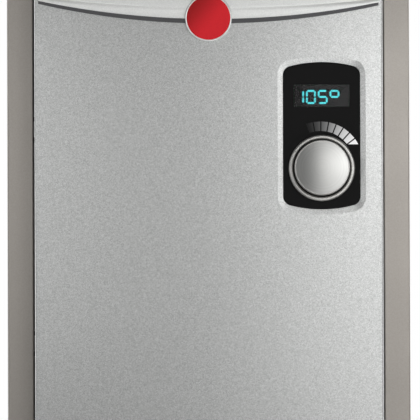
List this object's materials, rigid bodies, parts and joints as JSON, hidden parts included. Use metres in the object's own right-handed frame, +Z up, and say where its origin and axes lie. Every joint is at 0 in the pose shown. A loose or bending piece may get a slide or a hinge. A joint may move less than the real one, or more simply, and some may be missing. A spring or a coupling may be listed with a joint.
{
  "type": "tankless water heater",
  "caption": "Wall-hung electric tankless water heater: slim silver case with a lift-off front, digital display and temperature knob over copper heating chambers.",
  "frame": {"origin": "middle of the back plate's rear face, on the wall", "axes": "+Z up, -Y out of the wall towards the user, +X to the right as seen from the front"},
  "size_m": [0.356, 0.1097, 0.4915],
  "materials": {
    "cover_silver": "metallic silver powder coat with fine flake",
    "chassis_grey": "satin warm grey coat",
    "header_silver": "light metallic silver",
    "accent_dark": "dark grey moulded strip",
    "badge_red": "translucent red enamel",
    "bright_metal": "bright plated",
    "fascia_black": "semi-gloss black",
    "lens_tint": "smoked window",
    "digit_cyan": "lit light bars",
    "scale_white": "lit light bars, dim to bright",
    "satin_metal": "satin",
    "knob_silver": "satin silver moulding",
    "circuit_green": "solder mask",
    "component_black": "moulded",
    "connector_white": "natural nylon",
    "copper": "brazed copper tube",
    "brass": "machined",
    "steel": "zinc-plated",
    "ceramic": "white",
    "rubber_seal": "matt",
    "saddle_plastic": "glass-filled nylon",
    "aluminium": "extruded",
    "lead_black": "insulated lead",
    "lead_red": "insulated lead",
    "button_red": "moulded"
  },
  "bodies": {
    "chassis": {"back_plate": "chassis_grey", "left_side_rail": "chassis_grey", "right_side_rail": "chassis_grey", "top_plate": "chassis_grey", "bottom_plate": "chassis_grey", "cover_screws": "steel", "heating_chamber_left": "copper", "heating_chamber_right": "copper", "heating_element_left": "steel", "heating_element_right": "steel", "element_insulators": "ceramic", "seal_rings": "rubber_seal", "chamber_saddles": "saddle_plastic", "chamber_straps": "steel", "chassis_fasteners": "steel", "crossover_pipe": "copper", "inlet_pipe": "copper", "outlet_pipe": "copper", "water_inlet_union": "brass", "water_outlet_union": "brass", "union_locknuts": "brass", "flow_sensor_body": "saddle_plastic", "flow_rotor_pin": "steel", "flow_sensor_pickup": "component_black", "pipe_thermistors": "brass", "limit_switches": "component_black", "triac_plate": "aluminium", "triacs": "component_black", "control_board": "circuit_green", "board_headers": "connector_white", "board_components": "component_black", "terminal_block": "component_black", "terminal_screws": "brass", "earth_lug": "aluminium", "power_leads": "lead_red", "signal_leads": "lead_black"},
    "cover": {"front_cover": "cover_silver", "header_plate": "header_silver", "accent_strip": "accent_dark", "badge_rim": "bright_metal", "badge_disc": "badge_red", "control_fascia": "fascia_black", "scale_segments": "scale_white", "knob_ring": "satin_metal", "display_window": "lens_tint", "display_digits": "digit_cyan", "display_module": "component_black", "display_board": "circuit_green", "display_fixings": "steel", "display_socket": "connector_white", "display_harness": "lead_black", "harness_plug": "connector_white", "encoder_body": "component_black"},
    "push_slider": {"push_switch_slider": "connector_white"},
    "knob": {"encoder_shaft": "steel", "temperature_knob": "knob_silver", "knob_cap": "satin_metal"},
    "flow_rotor": {"flow_rotor": "connector_white"},
    "reset_button_left": {"reset_button_left": "button_red"},
    "reset_button_right": {"reset_button_right": "button_red"}
  },
  "joints": [
    {"name": "cover_lift_off", "type": "slide", "parent": "chassis", "child": "cover", "axis": [0, -1, 0], "range_m": [0, 0.12]},
    {"name": "knob_push", "type": "slide", "parent": "cover", "child": "push_slider", "axis": [0, 1, 0], "range_m": [0, 0.0005], "stiffness_N_per_m": 3000},
    {"name": "knob_turn", "type": "hinge", "parent": "push_slider", "child": "knob", "pos_m": [0.0995, -0.095, 0.05536], "axis": [0, 1, 0], "continuous": true},
    {"name": "flow_rotor_spin", "type": "hinge", "parent": "chassis", "child": "flow_rotor", "pos_m": [0, -0.036, -0.19], "axis": [0, 0, 1], "continuous": true},
    {"name": "reset_left_press", "type": "slide", "parent": "chassis", "child": "reset_button_left", "axis": [0, 1, 0], "range_m": [0, 0.001], "stiffness_N_per_m": 800},
    {"name": "reset_right_press", "type": "slide", "parent": "chassis", "child": "reset_button_right", "axis": [0, 1, 0], "range_m": [0, 0.001], "stiffness_N_per_m": 800}
  ]
}
